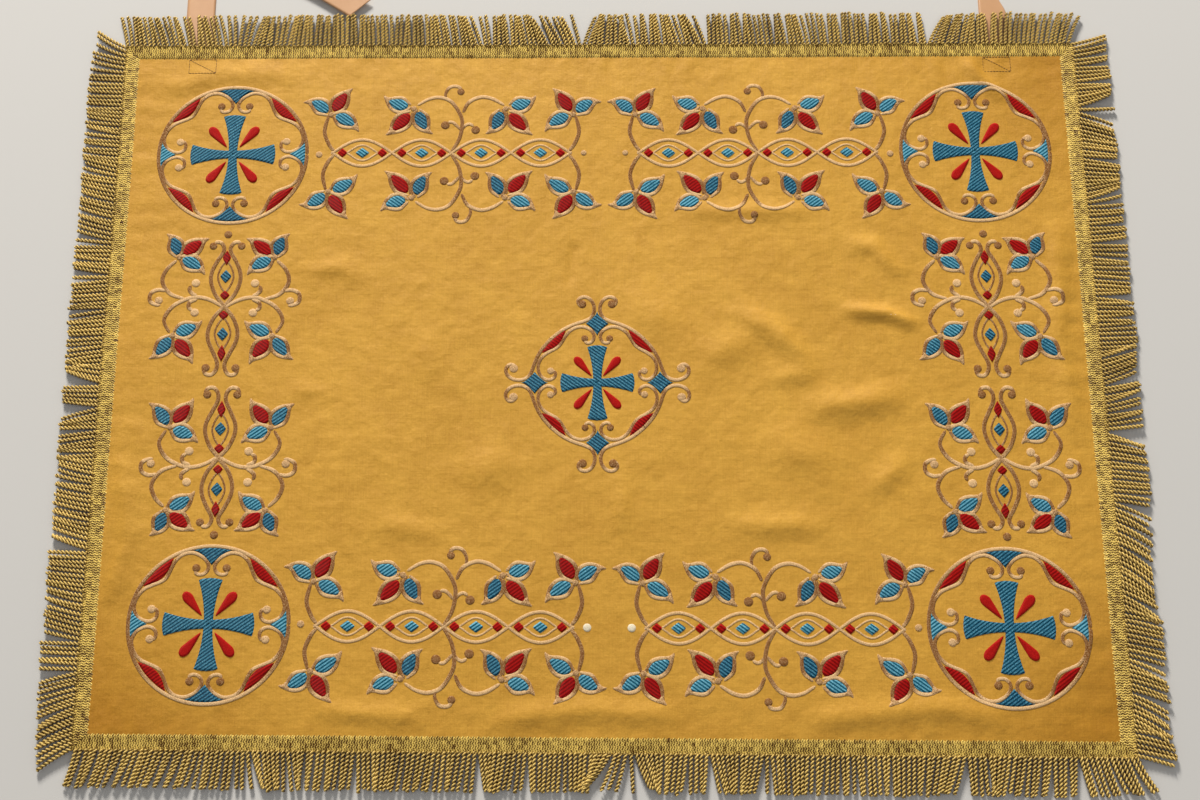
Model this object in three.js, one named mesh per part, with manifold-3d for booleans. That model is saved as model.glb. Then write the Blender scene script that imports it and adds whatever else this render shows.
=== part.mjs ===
// Great veil (aer) of an Eastern church communion set: a lined and interlined cloth with
// embroidered medallions and vines, a bullion fringe whose woven header is sewn round the
// edge, and two ribbon ties sewn behind the upper corners.
// Millimetres. +Z is up, +Y runs towards the edge with the ties, and the origin is the centre
// of the lining's underside, which lies on the table.
import * as THREE from 'three';
import { mergeVertices } from 'three/addons/utils/BufferGeometryUtils.js';
import Module from 'manifold-3d';

const wasm = await Module();
wasm.setup();

// ---- driving dimensions ----
const CLOTH_WIDTH = 836;
const CLOTH_DEPTH = 620;
const LINING_THICK = 0.6;
const INTERLINING_THICK = 0.6;
const INTERLINING_INSET = 4;
const FACE_THICK = 0.5;

const HEADER_WIDTH = 13;
const HEADER_THICK = 1.5;
const STRAND_LENGTH = 31;
const STRAND_THICK = 3.2;
const TUFT_PITCH = 34;
const TUFT_GAP = 2;
const FRINGE_ROOT = 4;
const TRIM_JOIN_X = 4;

const TIE_WIDTH = 25;
const TIE_THICK = 0.3;
const LEFT_TIE_X = -354;
const RIGHT_TIE_X = 343;
const TIE_SEWN_LENGTH = 15;
const TIE_RISE = 94;
const LEFT_TAIL_LENGTH = 140;
const RIGHT_TAIL_LENGTH = 150;
const LEFT_TAIL_ANGLE = -36.5;
const RIGHT_TAIL_ANGLE = 197;
const TIE_HINGE_CLEARANCE = 2;

const STITCH_WIDTH = 0.7;
const STITCH_THICK = 0.3;
const STITCH_INSET = 1;

// The pattern is drawn for a cloth of this size. A smaller cloth takes a smaller pattern.
const PATTERN_FOR_WIDTH = 836;
const PATTERN_FOR_DEPTH = 620;
const EMBROIDERY_THICK = 0.8;
const MEDALLION_X = 320;
const MEDALLION_Y = 205.5;
const LONG_VINE_X = 129.5;
const SHORT_VINE_X = 319;
const SHORT_VINE_Y = 65;
const CORD_WIDTH = 2.8;
const GAP = 0.3;

// ---- levels and edges worked out from them ----
const interliningBase = LINING_THICK;
const faceBase = interliningBase + INTERLINING_THICK;
const faceTop = faceBase + FACE_THICK;
const halfWidth = CLOTH_WIDTH / 2;
const halfDepth = CLOTH_DEPTH / 2;
const tieHingeY = halfDepth + STRAND_LENGTH + TIE_HINGE_CLEARANCE;
const tieSewnY = halfDepth - HEADER_WIDTH - TIE_SEWN_LENGTH;
const spreadX = CLOTH_WIDTH / PATTERN_FOR_WIDTH;
const spreadY = CLOTH_DEPTH / PATTERN_FOR_DEPTH;
const patternSize = Math.min(1, spreadX, spreadY);

// ---- colours ----
const finish = {
  cloth: { color: 0xd09f45, roughness: 0.62, metalness: 0 },
  lining: { color: 0xc79640, roughness: 0.7, metalness: 0 },
  interlining: { color: 0xe6dfcf, roughness: 0.95, metalness: 0 },
  bullion: { color: 0xa07b3b, roughness: 0.4, metalness: 0.6 },
  ribbon: { color: 0xc4906a, roughness: 0.45, metalness: 0 },
  goldThread: { color: 0xc99a66, roughness: 0.45, metalness: 0.2 },
  blueThread: { color: 0x1f6f94, roughness: 0.45, metalness: 0 },
  redThread: { color: 0xa31220, roughness: 0.45, metalness: 0 },
  sewingThread: { color: 0x8a6426, roughness: 0.8, metalness: 0 },
};
const materials = Object.fromEntries(
  Object.entries(finish).map(([name, look]) => [name, new THREE.MeshStandardMaterial(look)]),
);

const veil = new THREE.Group();

// ---- solids ----
function toSolid(geometry) {
  geometry.deleteAttribute('normal');
  geometry.deleteAttribute('uv');
  const merged = mergeVertices(geometry, 1e-3);
  return new wasm.Manifold(
    new wasm.Mesh({
      numProp: 3,
      vertProperties: new Float32Array(merged.attributes.position.array),
      triVerts: new Uint32Array(merged.index.array),
    }),
  );
}

function toGeometry(solid) {
  const mesh = solid.getMesh();
  const geometry = new THREE.BufferGeometry();
  geometry.setAttribute('position', new THREE.BufferAttribute(mesh.vertProperties, 3));
  geometry.setIndex(new THREE.BufferAttribute(mesh.triVerts, 1));
  geometry.computeVertexNormals();
  return geometry;
}

function plate(outline, base, thick) {
  const shape = new THREE.Shape(outline.map(([x, y]) => new THREE.Vector2(x, y)));
  const geometry = new THREE.ExtrudeGeometry(shape, { depth: thick, bevelEnabled: false });
  return geometry.translate(0, 0, base);
}

function rectangle(x0, y0, x1, y1) {
  return [[x0, y0], [x1, y0], [x1, y1], [x0, y1]];
}

function addPiece(name, geometry, material, place = {}) {
  const mesh = new THREE.Mesh(geometry, material);
  mesh.name = name;
  mesh.position.set(place.x ?? 0, place.y ?? 0, place.z ?? 0);
  veil.add(mesh);
  return mesh;
}

// A piece of embroidery at its place in the pattern, turned over in X or Y where flipX or flipY is -1.
function addEmbroidery(name, geometry, material, { x, y, flipX = 1, flipY = 1 }) {
  const mesh = addPiece(name, geometry, material, { x: x * spreadX, y: y * spreadY, z: faceTop });
  mesh.scale.set(flipX * patternSize, flipY * patternSize, 1);
}

// ---- outlines for embroidery, all in the plane of the cloth ----
function flipped(points, sx, sy) {
  return points.map(([x, y]) => [x * sx, y * sy]);
}

// A cord of satin stitch that follows a smooth line through the points.
function cord(points, width = CORD_WIDTH, step = 13) {
  const curve = new THREE.SplineCurve(points.map(([x, y]) => new THREE.Vector2(x, y)));
  const count = Math.max(2, Math.round(curve.getLength() / step));
  const left = [];
  const right = [];
  for (let i = 0; i <= count; i++) {
    const at = curve.getPointAt(i / count);
    const along = curve.getTangentAt(i / count);
    left.push([at.x - (along.y * width) / 2, at.y + (along.x * width) / 2]);
    right.unshift([at.x + (along.y * width) / 2, at.y - (along.x * width) / 2]);
  }
  return [...left, ...right];
}

function dot([x, y], radius, sides = 8) {
  return Array.from({ length: sides }, (_, i) => {
    const turn = (2 * Math.PI * i) / sides;
    return [x + radius * Math.cos(turn), y + radius * Math.sin(turn)];
  });
}

// A leaf: pointed at both ends and fullest a little nearer its stalk.
function leaf([x0, y0], [x1, y1]) {
  const [dx, dy] = [x1 - x0, y1 - y0];
  const [fullAt, half] = [0.38, 0.27];
  return [
    [x0, y0],
    [x0 + dx * fullAt + dy * half, y0 + dy * fullAt - dx * half],
    [x1, y1],
    [x0 + dx * fullAt - dy * half, y0 + dy * fullAt + dx * half],
  ];
}

function embroider(outlines) {
  const solids = outlines.map((outline) => {
    const clockwise = THREE.ShapeUtils.isClockWise(outline.map(([x, y]) => new THREE.Vector2(x, y)));
    return toSolid(plate(clockwise ? [...outline].reverse() : outline, 0, EMBROIDERY_THICK));
  });
  return toGeometry(solids.reduce((whole, solid) => whole.add(solid)));
}

// ---- the cloth: face, interlining and lining ----
function buildCloth() {
  const edge = rectangle(-halfWidth, -halfDepth, halfWidth, halfDepth);
  addPiece('face_cloth', plate(edge, faceBase, FACE_THICK), materials.cloth);

  const inset = INTERLINING_INSET;
  const inner = rectangle(inset - halfWidth, inset - halfDepth, halfWidth - inset, halfDepth - inset);
  addPiece('interlining', plate(inner, interliningBase, INTERLINING_THICK), materials.interlining);

  // The lining dips over the sewn end of each tie.
  let lining = toSolid(plate(edge, 0, LINING_THICK));
  for (const x of [LEFT_TIE_X, RIGHT_TIE_X]) {
    const dip = rectangle(
      x - TIE_WIDTH / 2 - GAP, tieSewnY - GAP,
      x + TIE_WIDTH / 2 + GAP, halfDepth + 1,
    );
    lining = lining.subtract(toSolid(plate(dip, -1, 1 + TIE_THICK)));
  }
  addPiece('lining', toGeometry(lining), materials.lining);
}

// ---- the fringe: a woven header on the face, with bullion strands beyond the edge ----
// Each run is drawn along +X with the strands towards +Y, then turned to its side of the cloth.
const runs = [
  { side: 'top', turn: 0, reach: halfDepth, from: -halfWidth, to: halfWidth },
  { side: 'left', turn: 90, reach: halfWidth, from: -halfDepth, to: halfDepth },
  { side: 'right', turn: -90, reach: halfWidth, from: -halfDepth, to: halfDepth },
  { side: 'bottom_left', turn: 180, reach: halfDepth, from: -TRIM_JOIN_X, to: halfWidth, start: 'join' },
  { side: 'bottom_right', turn: 180, reach: halfDepth, from: -halfWidth, to: -TRIM_JOIN_X, end: 'join' },
];

function turned(outline, degrees) {
  const cos = Math.round(Math.cos(THREE.MathUtils.degToRad(degrees)));
  const sin = Math.round(Math.sin(THREE.MathUtils.degToRad(degrees)));
  return outline.map(([x, y]) => [x * cos - y * sin, x * sin + y * cos]);
}

function headerOutline({ reach, from, to, start = 'mitre', end = 'mitre' }) {
  const a = start === 'mitre' ? HEADER_WIDTH : 0;
  const b = end === 'mitre' ? HEADER_WIDTH : 0;
  const inner = reach - HEADER_WIDTH;
  return [
    [from + GAP / 2, reach],
    [from + a + GAP / 2, inner],
    [to - b - GAP / 2, inner],
    [to - GAP / 2, reach],
  ];
}

function strandOutline({ reach, from, to }) {
  const root = reach + GAP;
  const tip = reach + STRAND_LENGTH;
  const count = Math.round((to - from) / TUFT_PITCH);
  const pitch = (to - from - GAP) / count;
  const outline = [[from + GAP / 2, root], [to - GAP / 2, root]];
  for (let i = count - 1; i >= 0; i--) {
    const low = from + GAP / 2 + i * pitch;
    const high = low + pitch;
    outline.push([high - (i === count - 1 ? 0 : TUFT_GAP / 2), tip], [low + (i ? TUFT_GAP / 2 : 0), tip]);
    if (i) outline.push([low + TUFT_GAP / 2, root + FRINGE_ROOT], [low - TUFT_GAP / 2, root + FRINGE_ROOT]);
  }
  return outline;
}

function buildFringe() {
  for (const run of runs) {
    const header = plate(turned(headerOutline(run), run.turn), faceTop, HEADER_THICK);
    addPiece(`header_${run.side}`, header, materials.bullion);
    let strands = toSolid(plate(turned(strandOutline(run), run.turn), 0, STRAND_THICK));
    if (run.side === 'top') {
      for (const x of [LEFT_TIE_X, RIGHT_TIE_X]) {
        const way = rectangle(x - TIE_WIDTH / 2 - GAP, 0, x + TIE_WIDTH / 2 + GAP, tieHingeY);
        strands = strands.subtract(toSolid(plate(way, -1, 1 + TIE_THICK + GAP)));
      }
    }
    addPiece(`strands_${run.side}`, toGeometry(strands), materials.bullion);
  }
}

// ---- the ties: ribbons sewn behind the upper corners and folded back over themselves ----
function ribbonRun([x, y], degrees, length) {
  const angle = THREE.MathUtils.degToRad(degrees);
  const [ux, uy] = [Math.cos(angle), Math.sin(angle)];
  const half = TIE_WIDTH / 2;
  return [
    [x + uy * half, y - ux * half],
    [x + ux * length + uy * half, y + uy * length - ux * half],
    [x + ux * length - uy * half, y + uy * length + ux * half],
    [x - uy * half, y + ux * half],
  ];
}

function buildTie(side, x, tailAngle, tailLength) {
  const half = TIE_WIDTH / 2;
  const sewn = rectangle(x - half, tieSewnY, x + half, tieHingeY - GAP / 2);
  addPiece(`${side}_tie_sewn_end`, plate(sewn, 0, TIE_THICK), materials.ribbon);

  const fold = [x, tieHingeY + TIE_RISE];
  const rise = rectangle(x - half, tieHingeY + GAP / 2, x + half, fold[1] + half / 2);
  const tail = ribbonRun(fold, tailAngle, tailLength);
  const lap = 0.05;
  const free = toSolid(plate(rise, 0, TIE_THICK)).add(toSolid(plate(tail, TIE_THICK - lap, TIE_THICK + lap)));
  addPiece(`${side}_tie`, toGeometry(free), materials.ribbon);

  // The box of machine stitching that holds the tie, with one diagonal.
  const w = half - STITCH_INSET;
  const low = tieSewnY + STITCH_INSET;
  const high = halfDepth - HEADER_WIDTH - STITCH_INSET;
  const line = (a, b) => {
    const run = Math.hypot(b[0] - a[0], b[1] - a[1]);
    const [nx, ny] = [(-(b[1] - a[1]) / run) * (STITCH_WIDTH / 2), ((b[0] - a[0]) / run) * (STITCH_WIDTH / 2)];
    return [[a[0] - nx, a[1] - ny], [b[0] - nx, b[1] - ny], [b[0] + nx, b[1] + ny], [a[0] + nx, a[1] + ny]];
  };
  const corners = [[x - w, low], [x + w, low], [x + w, high], [x - w, high]];
  const lines = [...corners.map((corner, i) => line(corner, corners[(i + 1) % 4])), line(corners[3], corners[1])];
  const stitches = lines.map((outline) => toSolid(plate(outline, faceTop, STITCH_THICK)));
  addPiece(`${side}_tie_stitching`, toGeometry(stitches.reduce((whole, next) => whole.add(next))), materials.sewingThread);
}

// ---- embroidery: medallions ----
const quarters = [0, 90, 180, 270];

function ringOutlines(radius, width, sides) {
  const outer = dot([0, 0], radius + width / 2, sides);
  const inner = dot([0, 0], radius - width / 2, sides);
  return toSolid(plate(outer, 0, EMBROIDERY_THICK)).subtract(toSolid(plate(inner, -1, EMBROIDERY_THICK + 2)));
}

// Points on the arm side of a cardinal direction, as [distance from the centre, offset beside it].
function horn(path, sign, degrees) {
  return turned(path.map(([r, t]) => [r, sign * t]), degrees);
}

function buildMedallion(name, { x, y, ring, horns, starSize = 0, armLength, armEnd, waist }) {
  let outline = ringOutlines(ring, 4, 24);
  const add = (points) => {
    const clockwise = THREE.ShapeUtils.isClockWise(points.map(([px, py]) => new THREE.Vector2(px, py)));
    outline = outline.add(toSolid(plate(clockwise ? [...points].reverse() : points, 0, EMBROIDERY_THICK)));
  };
  for (const degrees of quarters) {
    for (const sign of [-1, 1]) {
      for (const path of horns) add(cord(horn(path, sign, degrees), 2.4, 10));
    }
    if (starSize) add(turned([[ring + starSize, 0], [ring, 9], [ring - starSize, 0], [ring, -9]], degrees));
    // The inner line bows in round a red lens on each diagonal.
    const bow = [[28, ring - 1.5], [36.5, ring - 7.5], [45, ring - 10.5], [53.5, ring - 7.5], [62, ring - 1.5]];
    add(cord(turned(bow.map(([a, r]) => {
      const angle = THREE.MathUtils.degToRad(a);
      return [r * Math.cos(angle), r * Math.sin(angle)];
    }), degrees), 2.2, 12));
  }
  const base = { x, y };
  addEmbroidery(`gold_outline_${name}`, toGeometry(outline), materials.goldThread, base);

  const arm = [
    [waist / 2, waist / 2],
    [armLength * 0.45, waist / 2 + 0.8],
    [armLength * 0.75, armEnd * 0.36],
    [armLength - 1, armEnd / 2],
    [armLength, 0],
    [armLength - 1, -armEnd / 2],
    [armLength * 0.75, -armEnd * 0.36],
    [armLength * 0.45, -waist / 2 - 0.8],
  ];
  const cross = quarters.flatMap((degrees) => turned(arm, -degrees));
  addEmbroidery(`blue_cross_${name}`, embroider([cross]), materials.blueThread, base);

  // Teardrop petals between the arms.
  const [tip, far] = [armLength * 0.2, armLength * 0.6];
  quarters.forEach((degrees, i) => {
    const along = [[tip, 0], [far * 0.9, 2.6], [far * 1.15, 3.9], [far * 1.32, 3], [far * 1.39, 0]];
    const petal = [...along, ...along.slice(1, -1).reverse().map(([a, b]) => [a, -b])];
    const tilt = THREE.MathUtils.degToRad(45 + (i % 2 ? -3 : 3));
    const leaning = petal.map(([a, b]) => [a * Math.cos(tilt) - b * Math.sin(tilt), a * Math.sin(tilt) + b * Math.cos(tilt)]);
    addEmbroidery(`red_petal_${name}_${i + 1}`, embroider([turned(leaning, degrees)]), materials.redThread, base);
  });
}

const innerHorn = [[60, 15.5], [53.5, 6], [46.5, 2.3], [41.5, 4.5], [40, 9.5], [42.5, 13]];

function buildMedallions() {
  const corner = { ring: 62.7, horns: [innerHorn], armLength: 37.5, armEnd: 19, waist: 7.5 };
  const names = { top_left: [-1, 1], top_right: [1, 1], bottom_left: [-1, -1], bottom_right: [1, -1] };
  for (const [name, [sx, sy]] of Object.entries(names)) {
    buildMedallion(name, { ...corner, x: sx * MEDALLION_X, y: sy * MEDALLION_Y });
  }
  const shrink = (path) => path.map(([r, t]) => [52 + (r - 62.7) * 0.72, t * 0.85]);
  const outerHorn = [[52, 12.5], [58, 5.5], [66, 2.4], [73, 6], [72.5, 11.5]];
  buildMedallion('centre', {
    x: 0, y: 0, ring: 52, horns: [shrink(innerHorn), outerHorn],
    starSize: 10, armLength: 32.5, armEnd: 17, waist: 6.5,
  });
}

// ---- embroidery: vines ----
// A chain of almonds along X, each touching the next.
function almondChain(count, pitch, rise) {
  const arc = [[-0.52, 0], [-0.25, 0.8], [0, 1], [0.25, 0.8]];
  return Array.from({ length: count }, (_, i) => {
    const centre = pitch * (i + 0.5 - count / 2);
    return [...arc, ...flipped(arc, -1, -1)].map(([x, y]) => [centre + x * pitch, y * rise]);
  });
}

const longVineStems = [
  [[-104, 0], [-108.5, 16], [-110.5, 27], [-105, 37]],
  [[0, 0], [8.5, 17], [9, 35], [1, 47], [-12, 53.5], [-24, 50], [-34, 42]],
  [[9, 33], [12.5, 45], [24, 53], [34, 52], [46, 42]],
  [[104, 0], [109, 12], [110.5, 24], [106, 36]],
  [[8, 22], [1.5, 29], [-5.5, 26.5]],
  [[9, 22], [15, 28], [20.5, 22]],
];
const longVineHook = [[12.5, 45], [13, 58], [9, 63.5], [2, 60]];
const longVineLeaves = [
  [[-105, 37], [-128.5, 50.5]], [[-105, 35], [-88.5, 62.5]], [[-107, 35], [-79.5, 23.5]],
  [[-32, 43], [-60.5, 53.5]], [[-34, 43], [-56.5, 16.5]], [[-33, 43], [-18.5, 18.5]],
  [[44, 43], [71.5, 53.5]], [[46, 43], [66.5, 16.5]], [[45, 43], [32.5, 18.5]],
  [[105, 36], [128.5, 49]], [[105, 34], [89.5, 61]], [[107, 34], [80.5, 20.5]],
];

const shortVineStems = [
  [[0, 0], [-14, -6], [-29, -8], [-43, -1], [-49.5, 12], [-44, 25]],
  [[-29, -8], [-46, -13], [-52.5, -25], [-50, -35], [-41, -44]],
  [[-21, -7], [-28.5, -3], [-27, 6]],
  [[-24, -8], [-29.5, -13], [-25, -20]],
];
const shortVineHook = [[-46, -13], [-59, -15.5], [-63.5, -9], [-58, -3]];
const shortVineLeaves = [
  [[-44, 24], [-59, 49.5]], [[-44, 25], [-23, 50.5]], [[-46, 24], [-18.5, 14]],
  [[-42, -43], [-50.5, -68]], [[-42, -43], [-15.5, -64.5]], [[-43, -42], [-18.5, -30]],
];

function longVine() {
  const outlines = almondChain(4, 52, 12.5);
  for (const sy of [1, -1]) {
    for (const stem of longVineStems) outlines.push(cord(flipped(stem, 1, sy)));
    for (const [stalk, tip] of longVineLeaves) outlines.push(leaf(...flipped([stalk, tip], 1, sy)));
  }
  outlines.push(cord(longVineHook), cord(flipped(longVineHook, -1, -1)));
  return embroider(outlines);
}

function shortVine() {
  // The chain stands upright here, and its ends flare into a pair of curls.
  const outlines = almondChain(2, 52, 11.5).map((outline) => turned(outline, 90));
  for (const sx of [1, -1]) {
    for (const stem of shortVineStems) outlines.push(cord(flipped(stem, sx, 1)));
    for (const [stalk, tip] of shortVineLeaves) outlines.push(leaf(...flipped([stalk, tip], sx, 1)));
    for (const sy of [1, -1]) outlines.push(cord(flipped([[0, 50], [3, 56], [7, 61], [12.5, 57]], sx, sy)));
  }
  outlines.push(cord(shortVineHook), cord([[44, 1], [54, 3.5], [62, -4], [57, -10]]));
  return embroider(outlines);
}

function buildVines() {
  const long = longVine();
  const short = shortVine();
  const rows = [['top', 1], ['bottom', -1]];
  const columns = [['left', -1], ['right', 1]];
  for (const [row, sy] of rows) {
    for (const [column, sx] of columns) {
      // Both vines are drawn for the lower left and mirrored to the other corners.
      addEmbroidery(`vine_${row}_${column}`, long, materials.goldThread, {
        x: sx * LONG_VINE_X, y: sy * MEDALLION_Y, flipX: -sx, flipY: -sy,
      });
      addEmbroidery(`vine_${column}_${row === 'top' ? 'upper' : 'lower'}`, short, materials.goldThread, {
        x: sx * SHORT_VINE_X, y: sy * SHORT_VINE_Y, flipY: -sy,
      });
    }
  }
}

buildCloth();
buildFringe();
buildTie('left', LEFT_TIE_X, LEFT_TAIL_ANGLE, LEFT_TAIL_LENGTH);
buildTie('right', RIGHT_TIE_X, RIGHT_TAIL_ANGLE, RIGHT_TAIL_LENGTH);
buildMedallions();
buildVines();

export default veil;
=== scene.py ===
# Great veil (aer) of a communion set: golden satin, lined, embroidered with cross medallions
# and vines, edged with bullion fringe and tied with two ribbons at its upper corners.
# It lies face up on a table. Lengths in the sections are millimetres, unless they say metres.
import math

import bpy
import numpy as np
from mathutils import Matrix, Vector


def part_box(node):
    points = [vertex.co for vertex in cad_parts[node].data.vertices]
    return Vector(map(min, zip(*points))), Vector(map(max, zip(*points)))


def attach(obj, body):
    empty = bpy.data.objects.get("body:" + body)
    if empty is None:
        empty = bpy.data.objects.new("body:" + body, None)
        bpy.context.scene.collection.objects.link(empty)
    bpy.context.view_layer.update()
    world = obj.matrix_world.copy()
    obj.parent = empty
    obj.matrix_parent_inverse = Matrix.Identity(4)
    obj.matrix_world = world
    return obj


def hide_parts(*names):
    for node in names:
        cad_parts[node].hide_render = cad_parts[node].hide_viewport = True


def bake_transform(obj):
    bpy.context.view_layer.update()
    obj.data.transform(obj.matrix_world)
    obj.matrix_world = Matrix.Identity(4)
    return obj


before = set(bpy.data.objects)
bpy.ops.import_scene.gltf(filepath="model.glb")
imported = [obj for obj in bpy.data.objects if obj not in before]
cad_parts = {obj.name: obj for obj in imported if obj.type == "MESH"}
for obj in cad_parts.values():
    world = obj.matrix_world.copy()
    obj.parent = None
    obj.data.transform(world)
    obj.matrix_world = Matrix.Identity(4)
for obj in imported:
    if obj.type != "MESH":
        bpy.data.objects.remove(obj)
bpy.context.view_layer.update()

# ---- Table, light and camera ----
# A plain pale table top under the veil, a broad soft light from the tie edge and a weaker
# one from the other side. The camera looks down at the veil from its lower edge. All in metres.
camera = bpy.data.objects.new("camera", bpy.data.cameras.new("camera"))
camera.data.sensor_width = 36
camera.data.lens = 55.9
camera.location = (-0.0023, -0.4676, 1.4765)
camera_tilt = Matrix.Rotation(math.radians(17.0), 3, "X")
camera_turn = Matrix.Rotation(math.radians(0.1), 3, "Y") @ Matrix.Rotation(math.radians(-0.145), 3, "Z")
camera.rotation_euler = (camera_tilt @ camera_turn).to_euler()
bpy.context.scene.collection.objects.link(camera)
bpy.context.scene.camera = camera
bpy.context.scene.view_settings.view_transform = "Standard"


def soft_light(name, place, size, power, colour):
    lamp = bpy.data.objects.new(name, bpy.data.lights.new(name, "AREA"))
    lamp.data.size = size
    lamp.data.energy = power
    lamp.data.color = colour
    lamp.location = place
    aim = Matrix.Identity(3)
    aim.col[2] = lamp.location.normalized()
    aim.col[0] = (Matrix.Rotation(math.radians(90), 3, "Z") @ aim.col[2]).cross(aim.col[2]).normalized()
    aim.col[1] = aim.col[2].cross(aim.col[0])
    lamp.rotation_euler = aim.to_euler()
    bpy.context.scene.collection.objects.link(lamp)


soft_light("key_light", (-1.0, 4.6, 2.2), 1.1, 400, (1.0, 0.97, 0.92))
soft_light("fill_light", (0.6, -0.9, 1.9), 1.4, 4, (0.96, 0.98, 1.0))

world = bpy.data.worlds.new("studio")
world.use_nodes = True
sky = world.node_tree.nodes["Background"]
sky.inputs["Color"].default_value = (1, 1, 1, 1)
sky.inputs["Strength"].default_value = 0.3
bpy.context.scene.world = world


def new_material(name):
    material = bpy.data.materials.new(name)
    material.use_nodes = True
    return material, material.node_tree, material.node_tree.nodes["Principled BSDF"]


def connect(tree, socket, value):
    """Links a socket to another one, or sets it to a plain value."""
    if isinstance(value, bpy.types.NodeSocket):
        tree.links.new(value, socket)
    else:
        socket.default_value = value


def feed(tree, node, inputs):
    """Connects a node's inputs, each by its name."""
    for title, value in inputs.items():
        connect(tree, next(s for s in node.inputs if s.name == title and s.enabled), value)


def add(tree, kind, inputs, **settings):
    """A new shader node, with its settings made and its inputs connected."""
    node = tree.nodes.new(kind)
    for setting, value in settings.items():
        setattr(node, setting, value)
    feed(tree, node, inputs)
    return node


def mixed(tree, factor, a, b, blend="MIX"):
    """A mix of two colours. The factor and the colours are sockets or values."""
    inputs = {"Factor": factor, "A": a, "B": b}
    node = add(tree, "ShaderNodeMix", inputs, data_type="RGBA", blend_type=blend)
    return next(s for s in node.outputs if s.enabled)


def srgb(*parts):
    linear = [c / 255 / 12.92 if c <= 10 else ((c / 255 + 0.055) / 1.055) ** 2.4 for c in parts]
    return (*linear, 1.0)


def new_object(name, points, faces, material):
    mesh = bpy.data.meshes.new(name)
    mesh.from_pydata(points, [], faces)
    mesh.materials.append(material)
    made = bpy.data.objects.new(name, mesh)
    bpy.context.scene.collection.objects.link(made)
    return made


TABLE_REACH = 4
TABLE_LEVEL = -3e-4
table_material, table_tree, table_shader = new_material("table_top")
table_mottle = add(table_tree, "ShaderNodeTexNoise", {"Scale": 3})
table_colour = mixed(table_tree, table_mottle.outputs["Fac"], srgb(206, 203, 198), srgb(212, 209, 204))
feed(table_tree, table_shader, {"Base Color": table_colour, "Roughness": 0.8})
table_plan = ((-1, -1), (1, -1), (1, 1), (-1, 1))
table_corners = [(x * TABLE_REACH, y * TABLE_REACH, TABLE_LEVEL) for x, y in table_plan]
new_object("table_top", table_corners, [(0, 1, 2, 3)], table_material)

# ---- Face, interlining and lining ----
# The face is a golden satin of silk and cotton. A soft cotton interlining gives it body, and
# a thinner satin lining closes the back. All three are caught together along the edge.
MM = 0.001
FACE_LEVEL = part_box("face_cloth")[1].z / MM
HALF_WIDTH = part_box("face_cloth")[1].x / MM
HALF_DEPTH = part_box("face_cloth")[1].y / MM
HEADER_WIDTH = 13
CLOTH_STEP = 3.6
LAYER_GAP = 0.02

# The veil was unfolded and laid by hand, so it is a few millimetres out of square, rises and
# falls slightly, and keeps soft creases. Everything sewn to the cloth follows the same lie.
CORNER_DRAW = {(-1, 1): (-2.6, -1.1), (1, 1): (-7.0, -0.5), (-1, -1): (-2.3, 7.4), (1, -1): (-3.4, -1.0)}

CREASE_DEPTH = 2.5
# Each crease: the points it runs through, its half width, and how far it rises or sinks, as a
# share of the crease depth.
CREASES = [
    (((155, -25), (205, -22), (264, -12)), 11, 1.7),
    (((104, 70), (150, 38), (184, 0)), 10, 1.6),
    (((72, 12), (140, 42)), 12, 1.7),
    (((130, 3), (190, 3)), 8, 1.2),
    (((196, 62), (240, 58), (272, 45)), 5.5, 1.7),
    (((200, 122), (232, 118), (246, 100), (266, 92)), 7, 1.1),
    (((122, -42), (205, -85)), 16, 2.2),
    (((216, -104), (256, -60)), 8, 1.2),
    (((12, 92), (80, 18)), 16, 1.5),
    (((27, 132), (29, 98)), 6, 0.6),
    (((14, -78), (17, -140)), 7, 0.9),
    (((92, -125), (192, -125)), 9, 1.0),
    (((60, 152), (190, 150)), 7, 0.7),
    (((-126, -96), (-62, -60)), 14, 2.4),
    (((-22, 126), (-28, 78)), 3.2, -0.7),
    (((-262, 92), (-226, 100), (-190, 86)), 8, 0.8),
    (((-164, 72), (-146, 96)), 6, 0.7),
    (((-216, -44), (-168, -66)), 14, 1.1),
    (((-266, -10), (-222, -12)), 6, 0.8),
    (((-192, -124), (-120, -134)), 8, 0.8),
    (((-150, 60), (-140, -20)), 10, 0.8),
    (((-100, -286), (-20, -276), (70, -280)), 9, 1.0),
    (((-240, -276), (-130, -284)), 8, 0.9),
    (((150, -284), (260, -272), (330, -282)), 9, 1.1),
    (((316, 298), (334, 276), (356, 250)), 5, 1.2),
    (((-396, 262), (-330, 284), (-250, 280)), 9, 0.6),
    (((-398, -200), (-384, -140), (-396, -60)), 8, 0.9),
    (((392, 150), (384, 40), (392, -60)), 9, 1.0),
]


def drawn_out(x, y):
    """Where a point of the flat cloth comes to lie, in plan."""
    u = (x / HALF_WIDTH + 1) / 2
    v = (y / HALF_DEPTH + 1) / 2
    share = {(-1, 1): (1 - u) * v, (1, 1): u * v, (-1, -1): (1 - u) * (1 - v), (1, -1): u * (1 - v)}
    return (
        x + sum(share[c] * CORNER_DRAW[c][0] for c in share),
        y + sum(share[c] * CORNER_DRAW[c][1] for c in share),
    )


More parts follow.
